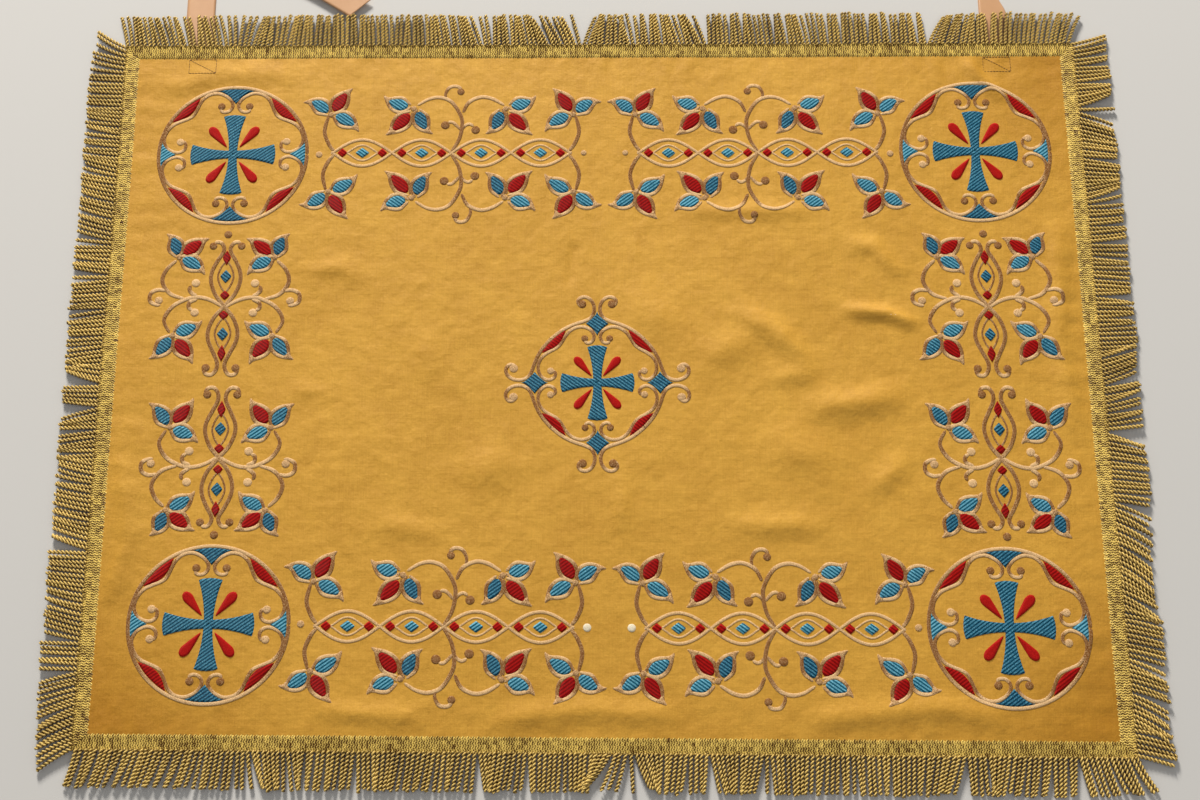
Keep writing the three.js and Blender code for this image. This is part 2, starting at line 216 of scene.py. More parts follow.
def crease(x, y, points, half_width, height):
    """A soft ridge along a line of points, fading out at both ends."""
    nearest = np.full(np.shape(x), 1e9)
    for (x0, y0), (x1, y1) in zip(points, points[1:]):
        length = math.hypot(x1 - x0, y1 - y0)
        along = np.clip(((x - x0) * (x1 - x0) + (y - y0) * (y1 - y0)) / length**2, 0, 1)
        nearest = np.minimum(nearest, np.hypot(x - x0 - along * (x1 - x0), y - y0 - along * (y1 - y0)))
    fade = 1.0
    for end in (points[0], points[-1]):
        fade = fade * (1 - np.exp(-(((x - end[0]) ** 2 + (y - end[1]) ** 2) / (2.5 * half_width) ** 2)))
    return height * fade * np.exp(-((nearest / half_width) ** 2))


PUCKER_DEPTH = 0.36
PUCKER_REACH = 24


def puckers(run, depth, first):
    """Small tucks that run in from a sewn edge. run is along it and depth is from it."""
    ripple = np.sin(run / 2.9 + first) + np.sin(run / 4.3 + 2 * first) + np.sin(run / 6.7 + 3 * first)
    patchy = 0.55 + 0.45 * np.sin(run / 47 + first)
    fade = np.exp(-np.maximum(depth, 0) / PUCKER_REACH)
    return PUCKER_DEPTH * ripple * patchy * fade * np.clip((depth + 2) / 8, 0, 1)


def lift(x, y):
    """How far the lining is off the table, never less than nothing."""
    rise = 1.6 + 0.5 * np.sin(x / 83 + 0.8) * np.cos(y / 71 + 0.4) + 0.3 * np.sin(x / 37 - y / 53)
    rise = rise + 0.16 * np.sin(x / 11 + 2 * np.sin(y / 29)) * np.sin(y / 13 + 1.7 * np.sin(x / 31))
    for points, half_width, height in CREASES:
        rise = rise + CREASE_DEPTH * crease(x, y, points, half_width, height)
    inner_x, inner_y = HALF_WIDTH - HEADER_WIDTH, HALF_DEPTH - HEADER_WIDTH
    rise = rise + puckers(x, inner_y - y, 1.0) + puckers(x, inner_y + y, 2.2)
    rise = rise + puckers(y, inner_x - x, 0.4) + puckers(y, inner_x + x, 3.1)
    return np.maximum(rise, 0.05)


def lay(x, y, height=0.0):
    """World points, in metres, of things at a height over the cloth's face."""
    x, y, height = np.broadcast_arrays(np.asarray(x, float), y, height)
    px, py = drawn_out(x, y)
    return np.stack([px, py, FACE_LEVEL + lift(x, y) + height], -1).reshape(-1, 3) * MM


class Pieces:
    """Collects surface patches, and the values stored at their points, into one mesh."""

    def __init__(self):
        self.points, self.faces, self.values, self.count = [], [], {}, 0

    def patch(self, points, rows, columns, ring=False, **values):
        """A patch of rows by columns. With ring, its last column joins its first, and its ends are closed."""
        index = self.count + np.arange(rows * columns).reshape(rows, columns)
        following = np.roll(index, -1, axis=1) if ring else index[:, 1:]
        start = index if ring else index[:, :-1]
        quads = np.stack([start[:-1], following[:-1], following[1:], start[1:]], -1).reshape(-1, 4)
        self.faces += quads.tolist()
        if ring:
            self.faces += [index[0][::-1].tolist(), index[-1].tolist()]
        self.points.append(points)
        self.count += rows * columns
        for name, value in values.items():
            self.values.setdefault(name, []).append(np.broadcast_to(value, (rows, columns)).reshape(-1))

    def sheet(self, top, bottom, rows, columns, **values):
        """One thin closed sheet, from the points of its upper and its lower face."""
        self.patch(top, rows, columns, **values)
        self.patch(bottom, rows, columns, **values)
        half, below = len(self.faces) // 2, rows * columns
        self.faces[half:] = [face[::-1] for face in self.faces[half:]]
        index = np.arange(below).reshape(rows, columns)
        rim = np.concatenate([index[0], index[1:, -1], index[-1, -2::-1], index[-2:0:-1, 0]])
        after = np.roll(rim, -1)
        self.faces += np.stack([after, rim, rim + below, after + below], -1).tolist()

    def make(self, name, material, slot, *replaced, body="veil"):
        """The patches as one object. body is None for a piece that spans two bodies, and is then attached to
        none.
        """
        piece = new_object(name, np.concatenate(self.points).tolist(), self.faces, material)
        for key, parts in self.values.items():
            held = piece.data.attributes.new(key, "FLOAT", "POINT").data
            held.foreach_set("value", np.concatenate(parts).astype(np.float32))
        piece.data.polygons.foreach_set("use_smooth", [True] * len(piece.data.polygons))
        if body:
            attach(piece, body)
        if replaced:
            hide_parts(*replaced)
        return piece


def input_group(name, inputs, outputs):
    """An empty shader node group with those sockets, each a name with its type."""
    group = bpy.data.node_groups.new(name, "ShaderNodeTree")
    for title, kind in inputs:
        group.interface.new_socket(title, in_out="INPUT", socket_type=kind)
    for title, kind in outputs:
        group.interface.new_socket(title, in_out="OUTPUT", socket_type=kind)
    return group, group.nodes.new("NodeGroupInput"), group.nodes.new("NodeGroupOutput")


def maths(tree, operation, *operands, clamp=False):
    """A Math node. Each operand is a socket or a number."""
    node = add(tree, "ShaderNodeMath", {}, operation=operation, use_clamp=clamp)
    for socket, operand in zip(node.inputs, operands):
        connect(tree, socket, operand)
    return node.outputs[0]


def wave(tree, along, pitch):
    return maths(tree, "SINE", maths(tree, "MULTIPLY", maths(tree, "DIVIDE", along, pitch), 2 * math.pi))


def noise(tree, place, scale, detail=2.0, stretch=(1, 1, 1)):
    """Fine or broad mottling, from 0 to 1, over points in millimetres."""
    stretched = add(tree, "ShaderNodeMapping", {"Vector": place, "Scale": stretch}).outputs["Vector"]
    inputs = {"Vector": stretched, "Scale": scale, "Detail": detail}
    return add(tree, "ShaderNodeTexNoise", inputs).outputs["Fac"]


def in_millimetres(tree):
    """The place on the object, in millimetres."""
    where = tree.nodes.new("ShaderNodeTexCoord").outputs["Object"]
    return add(tree, "ShaderNodeVectorMath", {"Vector": where, "Scale": 1 / MM}, operation="SCALE").outputs[0]


def stored(tree, name):
    """A value stored at the points of the mesh."""
    return add(tree, "ShaderNodeAttribute", {}, attribute_name=name).outputs["Fac"]


def bump(tree, height, distance, strength=1.0, **under):
    """A relief of the given depth, in metres. under holds the Normal it is laid over, if any."""
    inputs = {"Height": height, "Distance": distance, "Strength": strength, **under}
    return add(tree, "ShaderNodeBump", inputs).outputs["Normal"]


# Woven satin: fine ends and picks, with thicker slubs here and there along both.
weave, weave_in, weave_out = input_group(
    "woven_satin",
    [("Place", "NodeSocketVector"), ("Thread Pitch", "NodeSocketFloat"), ("Slub", "NodeSocketFloat")],
    [("Height", "NodeSocketFloat"), ("Tone", "NodeSocketFloat")],
)
weave_place, weave_pitch, weave_slub = (weave_in.outputs[key] for key in ("Place", "Thread Pitch", "Slub"))
weave_axes = add(weave, "ShaderNodeSeparateXYZ", {"Vector": weave_place}).outputs
weft, warp = wave(weave, weave_axes["Y"], weave_pitch), wave(weave, weave_axes["X"], weave_pitch)
weft_slub = noise(weave, weave_place, 1.0, 2.0, (0.03, 0.9, 1))
warp_slub = noise(weave, weave_place, 1.0, 2.0, (1.1, 0.05, 1))
streaks = maths(weave, "SUBTRACT", maths(weave, "ADD", weft_slub, warp_slub), 1.0)
streaks = maths(weave, "MULTIPLY", streaks, weave_slub)
woven_height = maths(weave, "MULTIPLY_ADD", maths(weave, "MULTIPLY", weft, warp), 0.35, streaks)
feed(weave, weave_out, {"Height": woven_height, "Tone": streaks})

# The colour of painted shade, multiplied into the cloth towards its corners and edges.
PAINTED_SHADE_TINT = (0.73, 0.63, 0.36, 1)


def satin(name, bright, shaded, roughness, pitch, slubs, soiled):
    """A satin cloth: woven, softly glossy, and darker towards its corners and edges, with painted shade."""
    material, tree, shader = new_material(name)
    place = in_millimetres(tree)
    cloth = add(tree, "ShaderNodeGroup", {}, node_tree=weave)
    feed(tree, cloth, {"Place": place, "Thread Pitch": pitch, "Slub": slubs})
    broad = noise(tree, place, 0.011, 3.0)
    patches = noise(tree, place, 0.06, 4.0)
    tone = maths(tree, "MULTIPLY_ADD", broad, 0.55, maths(tree, "MULTIPLY", patches, 0.45))
    tone = maths(tree, "MULTIPLY_ADD", maths(tree, "SUBTRACT", tone, 0.5), soiled, 0.5)
    speckle = maths(tree, "MULTIPLY_ADD", noise(tree, place, 0.85), 0.5, -0.25)
    tone = maths(tree, "ADD", maths(tree, "ADD", tone, speckle), cloth.outputs["Tone"], clamp=True)
    colour = mixed(tree, tone, shaded, bright)
    rumple = bump(tree, noise(tree, place, 0.09, 4.0), 0.0022, 0.55)
    feed(tree, shader, {
        "Base Color": mixed(tree, stored(tree, "handled"), colour, PAINTED_SHADE_TINT, "MULTIPLY"),
        "Roughness": maths(tree, "MULTIPLY_ADD", patches, 0.16, roughness - 0.08),
        "Specular IOR Level": 0.22,
        "Normal": bump(tree, cloth.outputs["Height"], 0.00012, 0.7, Normal=rumple),
    })
    return material


def layer(x_reach, y_reach, low, high):
    """One layer of cloth as a thin closed sheet that follows the lie."""
    columns, deep = int(2 * x_reach / CLOTH_STEP) + 1, int(2 * y_reach / CLOTH_STEP) + 1
    x, y = np.meshgrid(np.linspace(-x_reach, x_reach, columns), np.linspace(-y_reach, y_reach, deep))
    from_side, from_end = HALF_WIDTH - np.abs(x), HALF_DEPTH - np.abs(y)
    # Painted shade: darkest at the lower corners and the upper right one, less at the upper left, and fading
    # along the lower edge and the sides.
    corner_share = np.where(y > 0, np.where(x > 0, 0.85, 0.3), 1)
    handled = 0.9 * np.exp(-((np.hypot(from_side, from_end) / 105) ** 2)) * corner_share
    handled = handled + 0.25 * np.exp(-((HALF_DEPTH + y) / 55)) + 0.15 * np.exp(-from_side / 40)
    sheet = Pieces()
    sheet.sheet(lay(x, y, high), lay(x, y, low), deep, columns, handled=np.clip(handled, 0, 1))
    return sheet


face_satin = satin("golden_satin", srgb(226, 172, 66), srgb(190, 136, 42), 0.55, 0.55, 0.5, 1.2)
lining_satin = satin("lining_satin", srgb(214, 160, 76), srgb(190, 134, 52), 0.6, 0.7, 0.18, 1.1)
felt, felt_tree, felt_shader = new_material("cotton_interlining")
felt_fuzz = noise(felt_tree, in_millimetres(felt_tree), 1.6, 6.0)
feed(felt_tree, felt_shader, {
    "Base Color": mixed(felt_tree, felt_fuzz, srgb(214, 205, 188), srgb(238, 232, 220)),
    "Roughness": 0.95,
    "Normal": bump(felt_tree, felt_fuzz, 0.0004),
})

interlining_low, interlining_top = (corner.z / MM - FACE_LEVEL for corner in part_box("interlining"))
interlining_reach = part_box("interlining")[1]
cloth_face = layer(HALF_WIDTH, HALF_DEPTH, interlining_top + LAYER_GAP, 0.0).make(
    "cloth_face", face_satin, "cloth", "face_cloth"
)
cloth_middle = layer(
    interlining_reach.x / MM, interlining_reach.y / MM, interlining_low, interlining_top
).make("cloth_interlining", felt, "interlining", "interlining")
cloth_back = layer(HALF_WIDTH, HALF_DEPTH, -FACE_LEVEL, interlining_low - LAYER_GAP).make(
    "cloth_lining", lining_satin, "lining", "lining"
)

# ---- Medallions ----
# A filled blue cross with red petals between its arms, inside a gold ring. Red lenses sit on
# the diagonals and blue points at the four quarters, where gold scrolls turn in to the cross.

# All the embroidery is satin stitch in glossy rayon thread. Its sheen is painted into its colour:
# light where the thread runs up and down the cloth, and dark where it runs side to side.
stitch, stitch_in, stitch_out = input_group(
    "stitch_rows",
    [("Along", "NodeSocketFloat"), ("Pitch", "NodeSocketFloat"), ("Place", "NodeSocketVector")],
    [("Height", "NodeSocketFloat"), ("Tone", "NodeSocketFloat")],
)
stitch_wave = wave(stitch, stitch_in.outputs["Along"], stitch_in.outputs["Pitch"])
stitch_unequal = noise(stitch, stitch_in.outputs["Place"], 1.3, 3.0)
feed(stitch, stitch_out, {
    "Height": maths(stitch, "MULTIPLY_ADD", stitch_wave, 0.5, stitch_unequal),
    "Tone": maths(stitch, "MULTIPLY_ADD", stitch_wave, 0.12, maths(stitch, "SUBTRACT", stitch_unequal, 0.5)),
})


def rows_of_thread(tree, place, pitch):
    """The height and tone of rows of thread, one after another along the stored run."""
    group = add(tree, "ShaderNodeGroup", {}, node_tree=stitch)
    feed(tree, group, {"Along": stored(tree, "thread"), "Pitch": pitch, "Place": place})
    return group.outputs["Height"], group.outputs["Tone"]


def thread_material(name, dark, light, ridge_dark=None, ridge_share=0.5):
    """Satin-stitched thread, its sheen painted in from dark to light. ridge_dark is the share of light left,
    as painted shade, between a filling's slanting ridges, and ridge_share how wide the gaps between them are."""
    material, tree, shader = new_material(name)
    height, tone = rows_of_thread(tree, in_millimetres(tree), 0.42)
    # Painted sheen: the stored value lightens the colour where the thread would catch the light.
    tone = maths(tree, "MULTIPLY_ADD", tone, 2.3, stored(tree, "catch"), clamp=True)
    colour = mixed(tree, tone, dark, light)
    if ridge_dark is not None:
        # Painted shade in the grooves between the slanting ridges of a filling.
        ridges = wave(tree, stored(tree, "ridge"), 1)
        groove = maths(tree, "MULTIPLY_ADD", ridges, -2.2, ridge_share, clamp=True)
        colour = mixed(tree, groove, colour, ridge_dark, "MULTIPLY")
    feed(tree, shader, {
        "Base Color": colour,
        "Roughness": 0.42,
        "Specular IOR Level": 0.06,
        "Normal": bump(tree, height, 0.00014, 0.8),
    })
    return material


gold_thread = thread_material("gold_thread", srgb(128, 78, 28), srgb(248, 206, 150))
blue_thread = thread_material("blue_thread", srgb(0, 82, 114), srgb(134, 206, 226), (0.05, 0.24, 0.3, 1))
red_thread = thread_material("red_thread", srgb(152, 12, 12), srgb(196, 34, 28), (0.5, 0.35, 0.35, 1), 0.2)
cream_thread = thread_material("cream_thread", srgb(226, 206, 168), srgb(250, 240, 214))


def distance_along(line):
    return np.concatenate([[0], np.cumsum(np.hypot(*np.diff(line, axis=0).T))])


LINE_STEP = 0.9


def smooth_line(points):
    """An even line through three or more points, without corners."""
    p = np.asarray(points, float)
    q = np.concatenate([[2 * p[0] - p[1]], p, [2 * p[-1] - p[-2]]])
    t = np.linspace(0, 1, 14, endpoint=False)[:, None]
    spans = []
    for a, b, c, d in zip(q, q[1:], q[2:], q[3:]):
        spans.append(b + 0.5 * t * (c - a + t * (2 * a - 5 * b + 4 * c - d + t * (3 * (b - c) + d - a))))
    dense = np.concatenate([*spans, p[-1:]])
    run = distance_along(dense)
    even = np.linspace(0, run[-1], max(3, int(run[-1] / LINE_STEP) + 1))
    return np.stack([np.interp(even, run, dense[:, 0]), np.interp(even, run, dense[:, 1])], -1)


def mirrored(points, flip, side=1):
    return np.asarray(points, float) * (flip, side)


RIDGE_SLOPE = 36
SUNK = 0.08
LEAF_FILLED = 0.8
LEAF_BORDER = 3.2


class Motif:
    """One unit of the pattern, drawn about its own centre, then put in place or mirrored."""

    def __init__(self, x, y, flip_x=1, flip_y=1, slant=1):
        # The pattern was stitched square, before the edges were hemmed and drawn.
        self.place = 2 * np.array([x, y], float) - np.array(drawn_out(x, y), float)
        self.flip = np.array([flip_x, flip_y], float)
        self.slant = slant * flip_x * flip_y
        self.gold, self.blue, self.red, self.cream = Pieces(), Pieces(), Pieces(), Pieces()

    def on_cloth(self, points):
        return np.asarray(points, float) * self.flip + self.place

    def stroke(self, points, width=3.6, rise=0.7, widths=(1, 1)):
        """A gold line with rounded ends. widths are shares of width along it."""
        line = smooth_line(self.on_cloth(points))
        count, columns = len(line), 7
        tangent = np.gradient(line, axis=0)
        tangent /= np.maximum(np.hypot(*tangent.T), 1e-9)[:, None]
        run = distance_along(line)
        wide = width * np.interp(np.linspace(0, 1, count), np.linspace(0, 1, len(widths)), widths)
        from_end = np.minimum(run, run[-1] - run)
        wide = wide * np.sqrt(np.clip(from_end / (width * 0.5), 0.03, 1))
        across = np.sin(np.linspace(-math.pi / 2, math.pi / 2, columns))
        side = wide[:, None] * across / 2
        height = 0.72 * rise * np.sqrt(np.clip(wide / width, 0, 1))[:, None] * (1 - across**4) ** 0.5 - 0.06
        x = line[:, :1] - tangent[:, 1:] * side
        y = line[:, 1:] + tangent[:, :1] * side
        # Painted sheen by direction: lighter where the stroke lies side to side, so its stitches run up and
        # down.
        lying = np.clip((tangent[:, :1] ** 2 - 0.15) / 0.6, 0, 1)
        # Painted shade along the edges of the light strokes, and painted highlight along the edges of the
        # dark ones.
        catch = 0.02 + 0.84 * lying + (0.5 - lying) * 0.75 * np.abs(across) ** 7
        self.gold.patch(lay(x, y, height), count, columns, thread=run[:, None], catch=catch, ridge=0.0)

    def dot(self, centre, radius, catch, colour="gold"):
        """A small round dot."""
        rings, spokes = 6, 17
        turn = np.linspace(0, 2 * math.pi, spokes)
        reach = np.sin(np.linspace(0, math.pi / 2, rings))[:, None]
        middle = self.on_cloth(centre)
        x = middle[0] + radius * reach * np.cos(turn)
        y = middle[1] + radius * reach * np.sin(turn)
        height = np.sqrt(np.clip(1 - reach**2, 0, 1)) - SUNK
        getattr(self, colour).patch(lay(x, y, height), rings, spokes, thread=y, catch=catch, ridge=0.0)

    def fill(self, left, right, colour, threads_up=0.0, pitch=2.5, rise=0.95, end_bow=0.0, ridged=1):
        """A filled shape between two edge lines, with slanting ridges. threads_up is 1 where
        the thread runs up and down the cloth, and 0 where it runs side to side."""
        left, right = self.on_cloth(left), self.on_cloth(right)
        gap = np.hypot(*(right - left).T)
        columns = max(5, int(gap.max() / 0.75) + 1)
        u = (1 - np.cos(np.linspace(0, math.pi, columns))) / 2
        middle = (left + right) / 2
        run = distance_along(middle)
        ahead = (middle[-1] - middle[0]) / max(np.hypot(*(middle[-1] - middle[0])), 1e-6)
        bow = end_bow * (run / run[-1])[:, None] ** 4 * 4 * u * (1 - u)
        x = left[:, :1] + (right[:, :1] - left[:, :1]) * u + ahead[0] * bow
        y = left[:, 1:] + (right[:, 1:] - left[:, 1:]) * u + ahead[1] * bow
        end = np.clip(np.minimum(run, run[-1] - run) / 1.4, 0, 1)[:, None]
        edge = np.clip(np.minimum(u, 1 - u) * gap[:, None] / 1.5, 0, 1)
        angle = math.radians(RIDGE_SLOPE) * self.slant
        ridge = (-x * math.sin(angle) + y * math.cos(angle)) / pitch
        crown = np.sqrt(end) * np.sqrt(edge)
        height = crown * (rise + 0.14 * ridged * np.sin(2 * math.pi * ridge)) - SUNK
        # The painted sheen follows threads_up: lighter where the thread runs up and down.
        getattr(self, colour).patch(
            lay(x, y, height), len(left), columns, thread=x * threads_up + y * (1 - threads_up),
            catch=threads_up * 0.7 + 0.1, ridge=ridge * ridged + 0.25 * (1 - ridged),
        )

    def leaf(self, stalk, tip, colour, width, bend):
        """A filled leaf with a gold border whose two sides run out together into a short tail."""
        length = np.hypot(*(tip - stalk))
        ahead = (tip - stalk) / length
        aside = np.array([-ahead[1], ahead[0]])
        steps = 25
        t = np.linspace(0, 1, steps)[:, None]
        hook = math.copysign(1.5, bend) * np.clip((t - 0.74) / 0.26, 0, 1) ** 2
        spine = stalk + (tip - stalk) * t + aside * (bend * 4 * t * (1 - t) - hook)
        turn = np.gradient(spine, axis=0)
        turn /= np.hypot(*turn.T)[:, None]
        out = np.stack([-turn[:, 1], turn[:, 0]], -1)
        inside = np.clip((t - 0.08) / (LEAF_FILLED - 0.08), 0, 1)
        half = width * 0.55 * np.sin(math.pi * inside**0.78) ** 0.82
        fine = np.linspace(0.09, LEAF_FILLED, max(8, int(length * LEAF_FILLED / 0.8)))
        left, right = (
            np.stack([np.interp(fine, t[:, 0], (spine + side * out * half)[:, k]) for k in (0, 1)], -1)
            for side in (1, -1)
        )
        self.fill(left, right, colour, threads_up=float(ahead[0] ** 2) * 0.85)
        closed = np.clip((t - LEAF_FILLED + 0.06) / (1.06 - LEAF_FILLED), 0, 1)
        tail = out * ((half + LEAF_BORDER) * (1 - closed) ** 0.8 + 0.25)
        last = slice(int((steps - 1) * LEAF_FILLED) - 2, steps)
        self.fill((spine + tail)[last], (spine - tail)[last], "gold", 0.5, rise=0.9, ridged=0)
        closing = np.clip((1 - t) / (1 - LEAF_FILLED), 0, 1)
        wrap = half + LEAF_BORDER * (0.44 * closing + 0.06) * np.clip(t * 12, 0.4, 1)
        for side in (1, -1):
            self.stroke((spine + side * out * wrap)[:23:3], LEAF_BORDER, 0.85, (0.7, 0.95, 1.05, 1.0, 0.6))

    def spray(self, leaves, flip=1, side=1, shift=0):
        """A spray of leaves, and the small gold patch where their stalks and the stem run
        together. flip and side mirror it, and then it is moved along by shift."""
        def placed(point):
            return mirrored(point, flip, side) + (shift, 0)

        for colour, stalk, tip, width, bend in leaves:
            self.leaf(placed(stalk), placed(tip), colour, width, flip * side * bend)
        self.dot(placed(np.mean([stalk for _, stalk, *_ in leaves], axis=0)), 2.7, 0.4)

    def diamond(self, centre, width, height, colour, threads_up):
        t = np.linspace(-1, 1, max(9, int(width / 0.8)))
        half = (1 - np.abs(t)) ** 0.85 * height / 2
        x, y = centre[0] + t * width / 2, centre[1] + 0 * t
        self.fill(np.stack([x, y + half], -1), np.stack([x, y - half], -1), colour, threads_up)

    def sew(self, name, gold=(), blue=(), red=()):
        for part, material, slot, replaced in (
            ("gold", gold_thread, "gold_thread", gold),
            ("blue", blue_thread, "blue_thread", blue),
            ("red", red_thread, "red_thread", red),
            ("cream", cream_thread, "gold_thread", ()),
        ):
            pieces = getattr(self, part)
            if pieces.count:
                pieces.make(f"{name}_{part}_stitching", material, slot, *replaced)


def turned(points, degrees):
    cosine, sine = math.cos(math.radians(degrees)), math.sin(math.radians(degrees))
    x, y = np.asarray(points, float).T
    return np.stack([x * cosine - y * sine, x * sine + y * cosine], -1)


def cross(motif, up, side, end_half, waist_half):
    for quarter, reach in enumerate((side, up, side, up)):
        t = np.linspace(0, 1, int(reach / 0.7))
        half = waist_half + (end_half - waist_half) * t**2.1
        run = t * (reach - 1.6)
        left, right = (turned(np.stack([run, edge], -1), quarter * 90) for edge in (half, -half))
        motif.fill(left, right, "blue", threads_up=0.22, pitch=2.45, end_bow=1.6)


def petal(motif, angle, start, length, half_width):
    """A red drop between two arms of the cross, widest near its rounded outer end."""
    t, widest = np.linspace(0, 1, 30), 0.74
    rounding = np.sqrt(np.clip(1 - ((t - widest) / 0.26) ** 2, 0, 1))
    half = half_width * np.where(t < widest, (t / widest) ** 0.75, rounding)
    run = start + t * length
    left, right = (turned(np.stack([run, side * half], -1), angle) for side in (1, -1))
    motif.fill(left, right, "red", 0.55, rise=1.1, ridged=0)


def lens(motif, outer, angle, depth):
    """A red lens on a diagonal, lying against the ring."""
    t = np.linspace(-1, 1, 30)
    around = np.radians(angle + t * 15.5)
    rim = np.stack([np.cos(around), np.sin(around)], -1)
    motif.fill(rim * outer, rim * (outer - depth * (1 - t**2))[:, None], "red", 0.5)


def quarter_line(motif, upright, level, quarter, width):
    """A line of stitching from the scroll at one quarter round to the scroll at the next."""
    first, second = (upright, level) if quarter % 2 == 0 else (level, upright)
    swapped = [(y, x) for x, y in second[::-1]]
    motif.stroke(turned(list(first) + swapped, -90 * quarter), width, 0.85)


def sew_medallion(motif, name):
    petals = [f"red_petal_{name}_{i}" for i in range(1, 5)]
    motif.sew(f"medallion_{name}", [f"gold_outline_{name}"], [f"blue_cross_{name}"], petals)


# Half a quarter of the inner line, from the head of its curl to the diagonal, across and up.
INNER_LINE = [
    (13.6, 43.2), (10.8, 40.9), (6.4, 41.2), (3.2, 44.2), (2.6, 48.2), (4.8, 52.6), (9.4, 56.4),
    (16, 58.8), (23.4, 57.4), (28.8, 52.8), (31.6, 47.4), (34, 41.6), (35.9, 38.1),
]
INNER_LINE_LEVEL = [
    (13.4, 44.2), (10.4, 41.6), (6, 41.8), (3, 44.8), (2.2, 48.8), (3.6, 53.6), (6.8, 57.8),
    (13.5, 60.4), (22, 58.4), (28.6, 53), (31.6, 47.4), (34, 41.6), (35.9, 38.1),
]
RING = 66.0


def corner_medallion(name, x, y):
    motif = Motif(x, y)
    around = np.radians(np.linspace(0, 360, 60))
    motif.stroke(np.stack([(RING - 1.6) * np.cos(around), (RING - 1.6) * np.sin(around)], -1), 3.2, 0.85)
    cross(motif, 38, 37, 9.8, 3.7)
    for quarter in range(4):
        petal(motif, 45 + quarter * 90 + (-6 if quarter % 2 else 6), 8.4, 25.2, 4.3)
        lens(motif, RING - 3.4, 45 + quarter * 90, 8.2)
        upright = quarter % 2 == 1
        base, tip = (17, 48.6) if upright else (12, 49.4)
        t = np.linspace(-1, 1, 33)
        back = np.sqrt((RING - 3.2) ** 2 - (t * base) ** 2)
        front = back - (back.max() - tip) * (1 - np.abs(t)) ** 1.6
        edges = (turned(np.stack([edge, t * base], -1), quarter * 90) for edge in (back, front))
        motif.fill(*edges, "blue", threads_up=0.1 if upright else 0.9)
        quarter_line(motif, INNER_LINE, INNER_LINE_LEVEL, quarter, 3.0)
        for side in (1, -1):
            motif.dot(turned([(46.2, side * 12.2)], quarter * 90)[0], 3.4, 0.02 if upright else 0.7)
    sew_medallion(motif, name)


corner_medallion("top_left", -321, 204.8)
corner_medallion("top_right", 318.7, 206)
corner_medallion("bottom_left", -317.9, -203.5)
corner_medallion("bottom_right", 320.9, -207.7)

# The same for the centre: its ring is drawn by two such lines, with a blue star between them.
CENTRE_OUTER = [
    (11.4, 68.6), (15, 69.4), (16, 73), (13.2, 75.8), (8.8, 76), (4.8, 73), (2.6, 68), (2.8, 62.4),
    (5.6, 57.4), (10.6, 54.6), (16.6, 52.6), (23, 50), (30, 46), (36.4, 40.8), (38.8, 38.6),
]
CENTRE_INNER = [
    (11, 36.8), (8, 34.9), (4.8, 36), (2.8, 39.4), (3.2, 43.4), (6, 47), (11, 49.2), (17, 49),
    (22.6, 46), (26.6, 41.2), (29.8, 35.6), (31.8, 33),
]
centre = Motif(-7.1, -2.2, slant=-1)
cross(centre, 33, 31, 8.5, 3.5)
for quarter in range(4):
    petal(centre, 45 + quarter * 90 + (-5 if quarter % 2 else 5), 7, 22.4, 3.7)
    lens(centre, 53.4, 45 + quarter * 90, 7.2)
    upright = quarter % 2 == 1
    t = np.linspace(-1, 1, 33)
    star_half = 9.6 * (1 - np.abs(t)) ** 1.65
    run = 52.2 + t * 11.6
    edges = (turned(np.stack([run, edge], -1), quarter * 90) for edge in (star_half, -star_half))
    centre.fill(*edges, "blue", threads_up=0.15)
    quarter_line(centre, CENTRE_OUTER, CENTRE_OUTER, quarter, 3.1)
    quarter_line(centre, CENTRE_INNER, CENTRE_INNER, quarter, 2.9)
    for side in (1, -1):
        centre.dot(turned([(39, side * 10.4)], quarter * 90)[0], 3.0, 0.03 if upright else 0.6)
        centre.dot(turned([(69.8, side * 12.6)], quarter * 90)[0], 3.7, 0.04 if upright else 0.6)
sew_medallion(centre, "centre")

# ---- Long vines ----
# Along each long side two mirrored runs: a plaited chain of almonds with blue and red diamonds
# in it, and four stems above and below that end in sprays of one red and two blue leaves.
OUTER_SPRAY = [
    ("blue", (-107.5, 36), (-129.5, 49.5), 9.6, -3.6),
    ("red", (-104.5, 37.5), (-88.5, 62.5), 9.8, 0.6),
    ("blue", (-104, 36), (-80, 21), 9.8, 2.0),
]
INNER_SPRAY = [
    ("blue", (-36, 45), (-60.5, 53.5), 9.8, 2.6),
    ("red", (-35.5, 39.5), (-56.5, 16), 9.8, 0.5),
    ("blue", (-29.5, 42), (-17.5, 17.5), 9.4, -2.8),
]
LONG_STEMS = [
    [(-107.5, 35.5), (-110.5, 20.5), (-106.5, 8.5), (-101.5, 1.5)],
    [
        (-30.5, 45.5), (-20.5, 51.5), (-10.5, 53), (-0.5, 48.5),
        (7.5, 35.5), (8.8, 25.5), (6.2, 12.5), (-0.5, 0.5),
    ],
    [(45.5, 45.5), (34.5, 52), (24.5, 53.5), (14.5, 48.5), (9.2, 38.5)],
    [(107.5, 35.5), (110.5, 20.5), (106.5, 8.5), (101.5, 1.5)],
]
STEM_TAPER = (0.7, 1, 1, 1, 0.8)
LONG_CURLS = [
    [(-3.6, 29.4), (0.5, 29.2), (4.2, 26), (7.6, 22)],
    [(18.8, 25.4), (15.2, 27.6), (11.4, 26), (9, 22.5)],
]
CHAIN_PITCH = 51.4


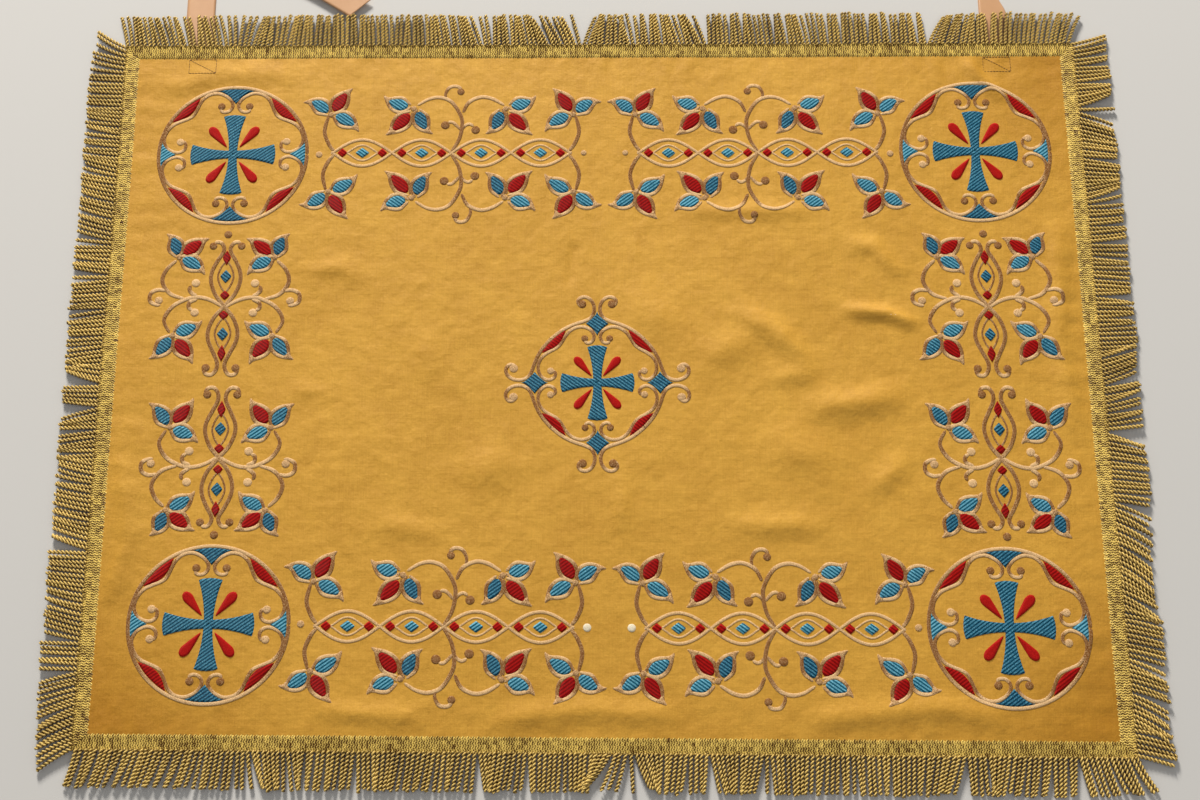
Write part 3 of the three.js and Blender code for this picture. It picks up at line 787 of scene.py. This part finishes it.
def chain(motif, count, rise):
    """A plaited chain of almonds, with a blue diamond in each and a red one at each end of it."""
    for link in range(count):
        middle = CHAIN_PITCH * (link + 0.5 - count / 2)
        for side in (1, -1):
            t = np.linspace(-0.53, 0.53, 15)
            bow = rise * np.cos(t * math.pi)
            motif.stroke(np.stack([middle + t * CHAIN_PITCH, side * bow], -1), 2.9, 0.8, (0.8, 1, 1, 1, 0.8))
            s = np.linspace(-0.5, 0.5, 9)
            eye = 7.3 * np.cos(s * math.pi) ** 1.2
            motif.stroke(np.stack([middle + s * 27, side * eye], -1), 1.7, 0.6)
        motif.diamond((middle, 0), 12.0, 9.6, "blue", threads_up=0.8)
        for offset in (-17.2, 17.2):
            motif.diamond((middle + offset, 0), 8.8, 8.6, "red", threads_up=0.8)


# Two more curls stand at the middle of a run, one above its stems and one below, each with a dot.
MIDDLE_CURLS = (
    ([(16.8, 50), (17.2, 57), (13.4, 63.6), (7, 64.6), (3.2, 60.6)], (4.6, 58.6)),
    ([(-5.6, -51), (-6, -57), (-2.4, -63), (4, -63.8), (8, -60.6)], (7.2, -58.6)),
)


def long_vine(name, x, y, flip_x, flip_y):
    motif = Motif(x, y, flip_x, flip_y)
    chain(motif, 4, 12.4)
    for side in (1, -1):
        for leaves, shift in ((OUTER_SPRAY, 0), (INNER_SPRAY, 13)):
            motif.spray(leaves, 1, side)
            motif.spray(leaves, -1, side, shift)
        for stem in LONG_STEMS:
            motif.stroke(mirrored(stem, 1, side), 3.5, 0.85, STEM_TAPER)
        for curl, spot in zip(LONG_CURLS, ((-5.8, 26.4), (20.6, 21.8))):
            motif.stroke(mirrored(curl, 1, side), 3.0, 0.8, (1, 1, 0.8))
            motif.dot(mirrored(spot, 1, side), 3.9, 0.03)
    for curl, spot in MIDDLE_CURLS:
        motif.stroke(curl, 3.3, 0.8, (0.7, 1, 1))
        motif.dot(spot, 3.3, 0.05)
    motif.dot((-114.5, 1.5), 3.0, 0.55)
    if y < 0:
        motif.dot((114.5, 0), 3.4, 0.6, "cream")
    else:
        motif.dot((114.5, 0), 2.6, 0.6)
    motif.sew(name, [name])


long_vine("vine_top_left", -132.6, 205.8, 1, -1)
long_vine("vine_top_right", 131.2, 205.6, -1, -1)
long_vine("vine_bottom_left", -129.9, -205.9, 1, 1)
long_vine("vine_bottom_right", 134.2, -208.1, -1, 1)

# ---- Short vines ----
# Down each short side two mirrored runs of the same plait, set upright, with four sprays and
# curling stems round it. Its free ends open into a pair of curls.
UPPER_SPRAY = [
    ("blue", (-43, 28.5), (-59.5, 50.5), 9.4, -1.8),
    ("red", (-40.5, 31), (-22.5, 53.5), 9.8, -0.4),
    ("blue", (-41.5, 27), (-17, 16.5), 9.8, 1.4),
]
LOWER_SPRAY = [
    ("blue", (-40, -41.5), (-17, -27), 9.8, -1.6),
    ("red", (-39, -43), (-16.5, -60.5), 9.8, -0.4),
    ("blue", (-42.5, -42), (-51.5, -64.5), 9.2, 2.6),
]
SHORT_STEMS = [
    [(-44.5, 26.5), (-49.8, 15), (-43.5, 3), (-31.5, -4), (-21.5, -5.5), (-11.5, -3), (0, 3.5)],
    [(-33.5, -4), (-46.5, -9), (-53.5, -20), (-50.5, -31), (-42.5, -39.5)],
    [(-53.6, 1.6), (-57.8, 1.2), (-62.8, -2.2), (-62.6, -9), (-57, -12.4), (-49.5, -11.6)],
    [(-26, 6.6), (-29.8, 3.6), (-29, -1.2), (-22.8, -4)],
    [(-29, -16.6), (-30, -12.2), (-27, -8.6), (-23, -6.6)],
]
# One side of the upright plait, from the head of its upper curl down to that of its lower one.
PLAIT_SIDE = [
    (14.4, 57.6), (12.4, 62.6), (7.4, 63.4), (3.6, 58.6), (3.4, 52), (7.2, 43.5), (11.8, 33), (12.2, 24),
    (8.2, 13), (1.6, 4.4), (0, 2.4), (-1.6, 0.4), (-8.2, -8.4), (-12.2, -19.4), (-11.8, -29),
    (-7.6, -39), (-3.4, -46.4), (-3, -51.5), (-6.2, -55.8), (-11.2, -55.8),
]
PLAIT_EYE = [(0, 15), (4.4, 8), (6.6, 0), (4.4, -8), (0, -15)]
# Each gold dot: its place, its radius and how much painted sheen its colour gets.
SHORT_DOTS = [
    ((-55.4, -2.6), 3.5, 0.6), ((-24.5, 8.2), 3.7, 0.8), ((-25, -18.4), 3.7, 0.85),
    ((12.4, 57.4), 3.5, 0.03), ((12, -52.4), 3.4, 0.03),
]
# Each diamond down the plait: its height, its width and depth, and its colour.
SHORT_DIAMONDS = [
    (27.5, 9.6, 12, "blue"), (44.5, 7.2, 15, "red"), (10.5, 8.4, 9, "red"),
    (-7.5, 8.4, 9, "red"), (-24.5, 9.6, 12, "blue"), (-41.5, 7.2, 14, "red"),
]


def short_vine(name, x, y, flip_y):
    motif = Motif(x, y, 1, flip_y)
    for side in (1, -1):
        for leaves in (UPPER_SPRAY, LOWER_SPRAY):
            motif.spray(leaves, side)
        for stem in SHORT_STEMS:
            motif.stroke(mirrored(stem, side), 3.6, 0.85, STEM_TAPER)
        for spot, radius, catch in SHORT_DOTS:
            motif.dot(mirrored(spot, side), radius, catch)
        motif.stroke(mirrored(PLAIT_SIDE, side), 3.5, 0.85)
        for middle in (27, -24.5):
            motif.stroke(mirrored(PLAIT_EYE, side) + (0, middle), 1.7, 0.6)
    for height, wide, tall, colour in SHORT_DIAMONDS:
        motif.diamond((0, height), wide, tall, colour, threads_up=0.15)
    motif.dot((0, -63), 3.5, 0.05)
    motif.sew(name, [name])


short_vine("vine_left_upper", -320.6, 68.4, -1)
short_vine("vine_left_lower", -317.7, -68.3, 1)
short_vine("vine_right_upper", 320.9, 66.6, -1)
short_vine("vine_right_lower", 323.6, -70.6, 1)

# ---- Header braid ----
# The fringe is made with its own header, a narrow braid of metal-wrapped thread with a looped
# inner edge. It is machined flat on the face round the edge, folded over at each corner.
HEADER_LEVEL = 0.45
LOOP_PITCH = 2.02
SCALLOP_PITCH = 4.04


def metal_thread(name, dark, bright, roughness):
    material, tree, shader = new_material(name)
    place = in_millimetres(tree)
    # The colour carries painted light: the stored value lightens the raised parts and darkens the hollows,
    # and the glint noise paints small highlights.
    glint = maths(tree, "SUBTRACT", noise(tree, place, 1.4, 3.0), 0.5)
    tarnish = noise(tree, place, 0.035, 4.0)
    tone = maths(tree, "MULTIPLY_ADD", glint, 1.9, stored(tree, "catch"))
    tone = maths(tree, "MULTIPLY_ADD", maths(tree, "SUBTRACT", tarnish, 0.5), 0.5, tone, clamp=True)
    wrapped_height, _ = rows_of_thread(tree, place, 0.55)
    feed(tree, shader, {
        "Base Color": mixed(tree, tone, dark, bright),
        "Metallic": 0.15,
        "Roughness": maths(tree, "MULTIPLY_ADD", tarnish, 0.2, roughness - 0.1),
        "Specular IOR Level": 0.2,
        "Normal": bump(tree, wrapped_height, 0.0002, 0.8),
    })
    return material


braid_metal = metal_thread("braid_thread", srgb(84, 50, 10), srgb(255, 218, 112), 0.42)
bullion_metal = metal_thread("bullion_thread", srgb(82, 48, 26), srgb(248, 212, 122), 0.4)
loop_draw = np.random.default_rng(7)


def header(name, turn, reach, half_length, nodes):
    """The braid along one side, turned there from the far side. Its ends are mitred."""
    long, columns = int(2 * half_length / 0.4), 23
    s = np.linspace(-half_length, half_length, long)[:, None]
    v = np.linspace(0, 1, columns)[None, :]
    depth = v * HEADER_WIDTH
    out = reach - HEADER_WIDTH - 0.5 * np.sin(s * 2 * math.pi / SCALLOP_PITCH) * np.exp(-v * 12) + depth
    limit = half_length - (reach - out)
    along = np.clip(s, -limit, limit)
    slant = 1.1 * np.abs(((v * 3.5) % 1) - 0.5)
    loops = np.sin(2 * math.pi * (s / LOOP_PITCH + slant))
    knots = np.sin(2 * math.pi * v * 7 + np.pi * np.floor(s / LOOP_PITCH))
    uneven = loop_draw.normal(0, 0.2, (long // 5 + 1, 4)).repeat(5, 0)[:long]
    uneven = uneven[:, np.minimum((v[0] * 4).astype(int), 3)]
    edge = np.clip(np.minimum(v, 1 - v) * 8, 0, 1) ** 0.7
    height = edge * (HEADER_LEVEL + 0.24 * loops + 0.12 * knots) - 0.02
    x, y = turned(np.stack([along.ravel(), out.ravel()], -1), turn).T.reshape(2, long, columns)
    braid = Pieces()
    # Painted light: lighter on the raised loops and knots, darker between them, with random tone in patches.
    catch = 0.44 + 0.5 * loops + 0.22 * knots + uneven
    braid.patch(lay(x, y, height), long, columns, thread=s + 0.3 * depth, catch=catch)
    braid.make(name, braid_metal, "header", *nodes)


header("braid_top", 0, HALF_DEPTH, HALF_WIDTH, ["header_top"])
header("braid_left", 90, HALF_WIDTH, HALF_DEPTH, ["header_left"])
header("braid_right", -90, HALF_WIDTH, HALF_DEPTH, ["header_right"])
header("braid_bottom", 180, HALF_DEPTH, HALF_WIDTH, ["header_bottom_left", "header_bottom_right"])

# ---- Bullion strands ----
# Each strand is one thick two-ply cord of metal-wrapped thread, doubled on itself so that it
# ends in a round loop. They hang from the header side by side, and lie in uneven bunches.
STRAND_PITCH = 3.95
STRAND_LENGTH = 31.5
PLY_RADIUS = 0.98
PLY_OFFSET = 0.96
TWIST_LENGTH = 6.6
RIBBON_ROOM = 0.4
STRAND_STEPS = 40
PLY_SIDES = 5


def strand(pieces, root, angle, bow, length, level, phase, shade):
    """One twisted strand, from its root on the edge out to its rounded end."""
    rounding = 0.965
    t = np.append(np.linspace(0, rounding, STRAND_STEPS - 3), (0.98, 0.992, 1.0))
    closing = np.clip((t - rounding) / 0.035, 0, 0.97)
    way = np.array([math.cos(angle), math.sin(angle)])
    aside = np.array([-way[1], way[0]])
    flat = root + np.outer(t * length, way) + np.outer(bow * t**2, aside)
    x, y = drawn_out(flat[:, 0], flat[:, 1])
    start_height = FACE_LEVEL + lift(*root) + 0.1
    rest = RIBBON_ROOM + PLY_RADIUS + PLY_OFFSET + level
    height = rest + (start_height - rest) * (1 - t) ** 2
    ring = np.linspace(0, 2 * math.pi, PLY_SIDES, endpoint=False)
    offset = PLY_OFFSET * (1 - 0.55 * closing)
    radius = (PLY_RADIUS * np.sqrt(1 - closing**2))[:, None]
    run = (t * length)[:, None] + ring[None, :] * 0.25
    for ply in (0, 1):
        turn = phase + math.pi * ply + 2 * math.pi * t * length / TWIST_LENGTH
        px, py = ((at + way_out * offset * np.cos(turn))[:, None] + radius * way_out * np.cos(ring)
                  for at, way_out in ((x, aside[0]), (y, aside[1])))
        pz = (height + offset * np.sin(turn))[:, None] + radius * np.sin(ring)
        points = np.stack([px, py, pz], -1).reshape(-1, 3) * MM
        # Painted light: lighter where a ply lies on top and on the top of each ply, darker in the grooves and
        # underneath, over a random tone per strand.
        light = shade + 0.42 * np.sin(turn)[:, None] + 0.5 * np.sin(ring)[None, :]
        pieces.patch(points, STRAND_STEPS, PLY_SIDES, ring=True, thread=run, catch=light)


def hang_strands(name, turn, reach, half_length, seed, leans, nodes):
    """The strands of one side. leans are places along the side, in x or y, each with how far the
    tips lean there, in radians toward larger x or y. Two close places are a parting."""
    draw = np.random.default_rng(seed)
    sense = -1 if turn in (180, -90) else 1
    known, lean_there = np.array(sorted(leans), float).T
    pieces = Pieces()
    for number, s in enumerate(np.arange(-half_length + 1.6, half_length - 1.2, STRAND_PITCH)):
        lean = sense * float(np.interp(sense * s, known, lean_there)) + draw.normal(0, 0.03)
        root = turned([(s + draw.normal(0, 0.2), reach - 1.2)], turn)[0]
        level = (number % 2) * 0.45 + draw.uniform(0, 0.35) + 1.6 * abs(lean) * (number % 2)
        angle = math.radians(90 + turn) - 0.75 * lean
        bow = -0.25 * lean * STRAND_LENGTH + draw.normal(0, 0.7)
        length = STRAND_LENGTH + draw.normal(0, 0.7)
        phase = draw.uniform(0, 2 * math.pi)
        shade = 0.16 + draw.normal(0, 0.08)
        strand(pieces, root, angle, bow, length, level, phase, shade)
    pieces.make(name, bullion_metal, "bullion", *nodes)


hang_strands("strands_along_top", 0, HALF_DEPTH, HALF_WIDTH, 11, [
    (-418, -0.3), (-411, -0.12), (-401, -0.2), (-382, -0.35), (-371, -0.35), (-363, -0.25),
    (-355, -0.15), (-338, -0.25), (-327, -0.15), (-321, 0), (-315, 0.15), (-306, 0.35), (-298, 0.2),
    (-287, 0.05), (-277, 0.2), (-258, 0.03), (-232, -0.03), (-212, -0.03), (-181, -0.08), (-178, 0.04),
    (-169, -0.03), (-148, -0.08), (-132, -0.15), (-125, -0.2), (-103, -0.33), (-101, -0.2), (-90, -0.02),
    (-73, -0.1), (-52, -0.3), (-35, -0.5), (-22, -0.4), (-17, -0.2), (-15, 0.35), (-12, 0.35),
    (-1, 0.08), (11, 0.02), (18, 0), (28, -0.3), (34, -0.1), (49, -0.05), (64, -0.2), (85, -0.33),
    (93, -0.38), (95, -0.02), (116, -0.04), (148, -0.1), (175, -0.15), (190, -0.12), (208, -0.05),
    (236, -0.02), (265, 0), (287, -0.1), (289, 0.5), (302, 0.38), (313, 0.28), (326, 0.22), (328, 0.02),
    (349, 0.02), (358, 0.1), (373, 0.18), (388, 0.2), (401, 0.3), (418, 0.45),
], ["strands_top"])
hang_strands("strands_along_left", 90, HALF_WIDTH, HALF_DEPTH, 23, [
    (310, 0.6), (300, 0.45), (297, 0.28), (288, 0.15), (270, 0.06), (250, 0), (236, 0.2), (233, 0.1),
    (221, 0.2), (218, 0.1), (200, 0.1), (197, 0.25), (184, 0.3), (181, 0.15), (155, 0.3), (125, 0.25),
    (122, 0), (92, 0.1), (90, -0.1), (60, -0.02), (58, -0.15), (30, -0.05), (28, -0.15), (12, -0.08),
    (8, 0.15), (-6, 0.3), (-8, 0), (-26, 0.1), (-28, -0.3), (-42, -0.02), (-48, -0.15), (-72, 0),
    (-75, 0.25), (-98, 0.2), (-101, 0.15), (-148, 0.3), (-151, 0.05), (-198, 0.25), (-221, 0.3),
    (-223, 0), (-245, 0), (-248, -0.22), (-268, -0.35), (-285, -0.5), (-298, -0.42), (-310, -0.7),
], ["strands_left"])
hang_strands("strands_along_right", -90, HALF_WIDTH, HALF_DEPTH, 31, [
    (310, 0.3), (296, 0.22), (285, 0.1), (262, 0.12), (250, 0.3), (246, 0.3), (244, -0.35), (230, -0.25),
    (205, -0.12), (185, -0.05), (172, 0.2), (160, 0.35), (157, 0.05), (125, 0.1), (121, 0), (95, -0.04),
    (70, 0), (30, 0.05), (18, 0.3), (0, 0.4), (-6, 0.38), (-8, 0.2), (-25, 0.25), (-43, 0.15),
    (-45, -0.35), (-62, -0.15), (-80, -0.1), (-103, -0.15), (-106, -0.5), (-130, -0.55), (-160, -0.6),
    (-188, -0.55), (-191, -0.25), (-228, -0.25), (-232, -0.4), (-262, -0.35), (-266, -0.55),
    (-283, -0.5), (-286, -0.2), (-310, -0.3),
], ["strands_right"])
hang_strands("strands_along_bottom", 180, HALF_DEPTH, HALF_WIDTH, 47, [
    (-418, -0.24), (-395, -0.3), (-368, -0.33), (-346, -0.37), (-321, -0.28), (-303, -0.12),
    (-284, -0.03), (-275, 0.28), (-264, 0.15), (-254, 0.05), (-245, 0.25), (-234, -0.1), (-219, -0.05),
    (-195, -0.12), (-191, 0.06), (-172, -0.03), (-161, -0.15), (-142, -0.2), (-123, -0.15),
    (-100, -0.12), (-96, 0.2), (-86, -0.12), (-73, -0.15), (-58, -0.02), (-39, -0.05), (-20, -0.05),
    (-9, -0.15), (-2, -0.6), (7, -0.6), (10, -0.3), (18, -0.28), (21, 0.03), (25, 0.35), (36, 0.2),
    (45, 0), (59, -0.2), (70, -0.05), (82, -0.05), (84, 0.2), (98, 0.15), (106, -0.1), (125, -0.25),
    (129, 0.05), (160, -0.05), (180, -0.1), (184, 0), (208, 0), (235, -0.05), (253, -0.12), (272, -0.3),
    (283, -0.33), (285, 0.05), (302, 0), (313, -0.2), (328, -0.2), (347, -0.12), (369, -0.03),
    (373, 0.2), (395, 0.3), (418, 0.55),
], ["strands_bottom_left", "strands_bottom_right"])

# ---- Ribbon ties ----
# Two lengths of pale satin ribbon are machined to the back at the upper corners with a box of
# stitches. Each is folded loosely back on itself, and its free end is cut on the slant.
TIE_HALF = (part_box("left_tie_sewn_end")[1].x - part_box("left_tie_sewn_end")[0].x) / 2 / MM
RIBBON_THICK = 0.25
FOLD_RADIUS = 1.5
ribbon_satin, ribbon_tree, ribbon_shader = new_material("ribbon_satin")
ribbon_rows = wave(ribbon_tree, stored(ribbon_tree, "thread"), 0.5)
ribbon_mottle = noise(ribbon_tree, in_millimetres(ribbon_tree), 0.05, 3.0)
from_middle = maths(ribbon_tree, "ABSOLUTE", stored(ribbon_tree, "across"))
selvedge = maths(ribbon_tree, "GREATER_THAN", from_middle, 0.93)
selvedge_shade = maths(ribbon_tree, "MULTIPLY", selvedge, 0.35)
ribbon_colour = mixed(ribbon_tree, ribbon_mottle, srgb(198, 148, 104), srgb(216, 168, 124))
ribbon_height = maths(ribbon_tree, "MULTIPLY_ADD", ribbon_rows, 0.3, selvedge)
feed(ribbon_tree, ribbon_shader, {
    "Base Color": mixed(ribbon_tree, selvedge_shade, ribbon_colour, srgb(176, 124, 84)),
    "Roughness": 0.34,
    "Sheen Weight": 0.2,
    "Normal": bump(ribbon_tree, ribbon_height, 0.00008, 0.6),
})


def ribbon(name, x, rise, tail_angle, tail_length, cut, tilt, pinch, nodes):
    """The ribbon from its sewn end, out under the fringe, over a rolled fold and along its tail.
    cut is how much shorter its left side is, tilt how far it runs to the left on its way out, and
    pinch the share of its right half drawn in under the fringe."""
    start_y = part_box(nodes[0])[0].y / MM
    hinge_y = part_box(nodes[1])[0].y / MM
    fold_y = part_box(nodes[0])[1].y / MM + rise
    out = fold_y - start_y
    length = out + tail_length
    steps, columns = int(length / 1.2), 11
    s = np.linspace(0, length, steps)[:, None]
    v = np.linspace(-1, 1, columns)[None, :]
    py = start_y + s * (length - abs(cut) * (1 - math.copysign(1, cut) * v) / 2) / length
    drawn_in = pinch * np.exp(-(((py - 358) / 12) ** 2)) * np.clip(v, 0, 1)
    px = x + v * TIE_HALF * (1 - drawn_in) - tilt * (np.clip((py - hinge_y + 45) / 40, 0, 1) - 0.4)
    # The fold line halves the angle between the way out and the tail, and the ribbon rolls
    # over it along its normal.
    tail_turn = math.radians(tail_angle)
    fold_line = np.array([math.cos(tail_turn), 1.0 + math.sin(tail_turn)])
    fold_line /= np.hypot(*fold_line)
    normal = np.array([-fold_line[1], fold_line[0]]) * (1 if fold_line[0] >= 0 else -1)
    beyond = (px - x) * normal[0] + (py - fold_y) * normal[1]
    half_turn = math.pi * FOLD_RADIUS
    on_roll = np.clip(beyond, 0, half_turn)
    shift = FOLD_RADIUS * np.sin(on_roll / FOLD_RADIUS) - on_roll - 2 * np.maximum(beyond - half_turn, 0)
    px, py = px + normal[0] * shift, py + normal[1] * shift
    past_fold = np.clip((s - out * 0.7) / 30, 0, 1) * np.clip((length - s - 30) / 40, 0, 1)
    waves = 0.5 * (1 - np.cos(s / 17.0)) * past_fold
    z = 0.12 + FOLD_RADIUS * (1 - np.cos(on_roll / FOLD_RADIUS)) + waves * 1.3
    z = z + 0.25 * np.cos(v * 1.9) * np.clip((py - hinge_y - 10) / 20, 0, 1)
    top, bottom = (np.stack([px, py, level], -1).reshape(-1, 3) * MM for level in (z + RIBBON_THICK, z))
    strip = Pieces()
    strip.sheet(top, bottom, steps, columns, thread=s, across=v)
    piece = strip.make(name, ribbon_satin, "ribbon", *nodes, body=None)
    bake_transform(piece)


LEFT_TIE_X = -354
RIGHT_TIE_X = 343
TIE_RISE = 94
left_nodes, right_nodes = ([f"{side}_tie_sewn_end", f"{side}_tie"] for side in ("left", "right"))
ribbon("tie_left", LEFT_TIE_X, TIE_RISE, -33, 173, 7, 5.5, 0, left_nodes)
ribbon("tie_right", RIGHT_TIE_X, TIE_RISE, 197, 150, -7, 0, 0.6, right_nodes)

# The box of lockstitch that holds each tie, with its diagonal, in brown thread on the face.
sewing_thread, sewing_tree, sewing_shader = new_material("brown_sewing_thread")
sewing_tone = noise(sewing_tree, in_millimetres(sewing_tree), 1.1, 3.0)
feed(sewing_tree, sewing_shader, {
    "Base Color": mixed(sewing_tree, sewing_tone, srgb(96, 62, 22), srgb(138, 98, 42)),
    "Roughness": 0.7,
    "Normal": bump(sewing_tree, sewing_tone, 0.0002),
})
STITCH_LENGTH = 2.6
THREAD_RADIUS = 0.24
STITCH_X = 349


def lockstitch(pieces, a, b):
    """A row of stitches from a to b, each dipping into the cloth at its ends."""
    a, b = np.array(a, float), np.array(b, float)
    count = max(1, round(np.hypot(*(b - a)) / STITCH_LENGTH))
    way = (b - a) / np.hypot(*(b - a))
    steps, sides = 7, 6
    ring = np.linspace(0, 2 * math.pi, sides, endpoint=False)
    dip = np.sin(np.linspace(0, math.pi, steps)) ** 0.5
    for number in range(count):
        t = np.linspace((number + 0.06) / count, (number + 0.94) / count, steps)
        line = a + np.outer(t, b - a)
        x = line[:, :1] - way[1] * THREAD_RADIUS * np.cos(ring)
        y = line[:, 1:] + way[0] * THREAD_RADIUS * np.cos(ring)
        height = (dip * 0.34 - 0.2)[:, None] + THREAD_RADIUS * np.sin(ring)
        pieces.patch(lay(x, y, height), steps, sides, ring=True)


for side, x in (("left", LEFT_TIE_X), ("right", RIGHT_TIE_X)):
    low, high = (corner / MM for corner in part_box(f"{side}_tie_stitching"))
    middle, half = math.copysign(STITCH_X, x), (high.x - low.x) / 2
    near, far = middle - half, middle + half
    corners = [(near, low.y), (far, low.y), (far, high.y), (near, high.y)]
    seam = Pieces()
    for a, b in zip(corners, corners[1:] + corners[:1]):
        lockstitch(seam, a, b)
    lockstitch(seam, corners[3], corners[1])
    seam.make(f"tie_stitches_{side}", sewing_thread, "sewing_thread", f"{side}_tie_stitching")
